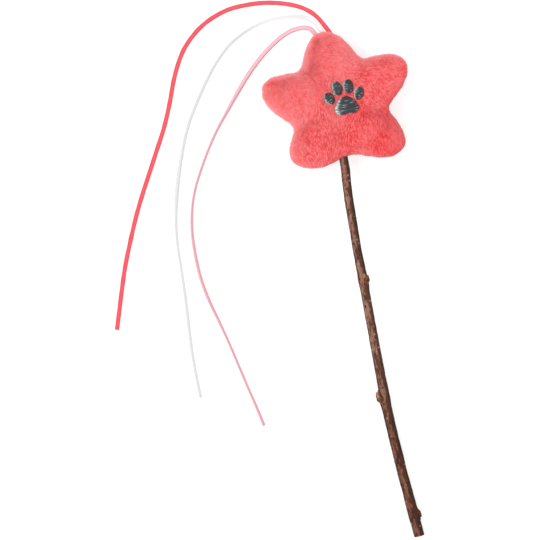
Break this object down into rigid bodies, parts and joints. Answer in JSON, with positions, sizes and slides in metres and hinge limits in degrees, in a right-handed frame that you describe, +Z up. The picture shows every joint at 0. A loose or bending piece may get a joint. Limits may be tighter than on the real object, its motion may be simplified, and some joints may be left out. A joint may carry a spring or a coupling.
{
  "type": "cat teaser wand",
  "caption": "Cat teaser wand: a stuffed plush star on a natural twig handle, with long flat suede laces sewn into the star's tip.",
  "frame": {"origin": "middle of the wand's footprint without its laces, on the level surface that the wand lies on", "axes": "+Y along the wand from the sawn end of the twig to the star, +Z up through the star's front, +X to the right seen from the front"},
  "size_m": [0.2374, 0.3909, 0.0375],
  "materials": {
    "bark": "matte",
    "plush": "matte",
    "stuffing": "matte",
    "hot_glue": "satin",
    "backing": "matte",
    "stitching": "satin",
    "suede_coral": "matte",
    "suede_white": "matte",
    "suede_pink": "matte"
  },
  "bodies": {
    "root": {"twig_stick": "bark", "star_front_panel": "plush", "star_back_panel": "plush", "star_filling": "stuffing", "glue_plug": "hot_glue", "embroidery_backing": "backing", "embroidered_motif": "stitching", "lace_coral": "suede_coral", "lace_white": "suede_white", "lace_pink": "suede_pink"}
  },
  "joints": []
}
